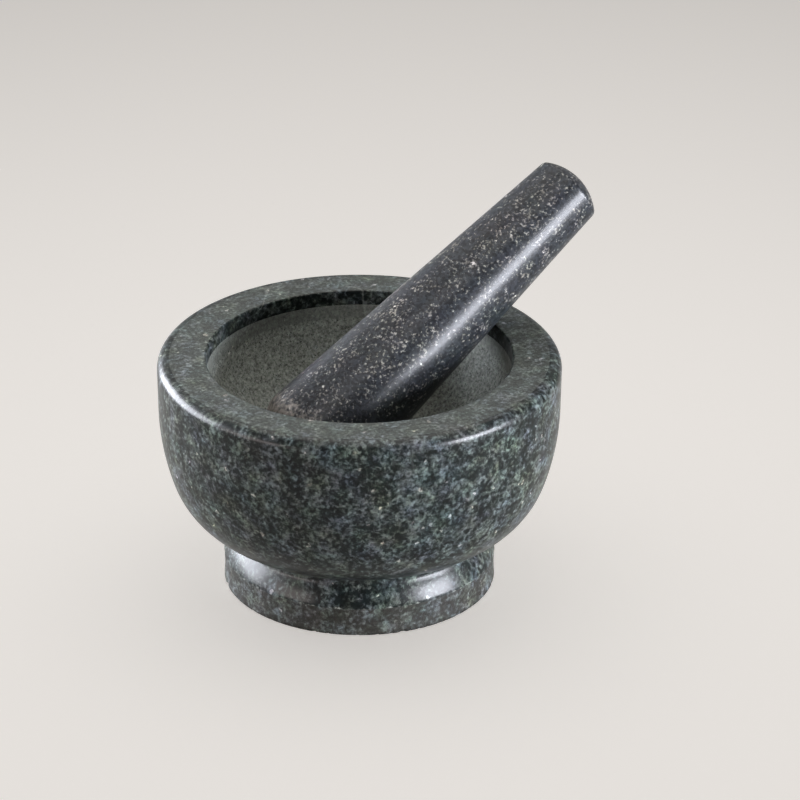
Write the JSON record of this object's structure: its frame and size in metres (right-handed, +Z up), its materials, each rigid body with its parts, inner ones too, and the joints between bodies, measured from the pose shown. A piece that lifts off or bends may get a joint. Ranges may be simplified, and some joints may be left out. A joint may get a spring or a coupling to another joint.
{
  "type": "mortar and pestle",
  "caption": "Footed granite mortar with a broad flat rim and a deep round bowl, and a tapered granite pestle that leans on the rim and lifts out.",
  "frame": {"origin": "centre of the flat underside of the foot", "axes": "+Z up along the mortar's turning axis, +X towards the side where the pestle leans out, XZ is the mirror plane"},
  "size_m": [0.2118, 0.18, 0.1758],
  "materials": {
    "mortar_granite": "polished dark green-grey granite, satin rim, honed inside the bowl",
    "pestle_granite": "polished charcoal granite with pale flecks, bruised matt on the grinding end"
  },
  "bodies": {
    "mortar": {"mortar": "mortar_granite"},
    "pestle": {"pestle": "pestle_granite"}
  },
  "joints": [
    {"name": "pestle lift", "type": "slide", "parent": "mortar", "child": "pestle", "axis": [0, 0, 1], "range_m": [0, 0.1]}
  ]
}
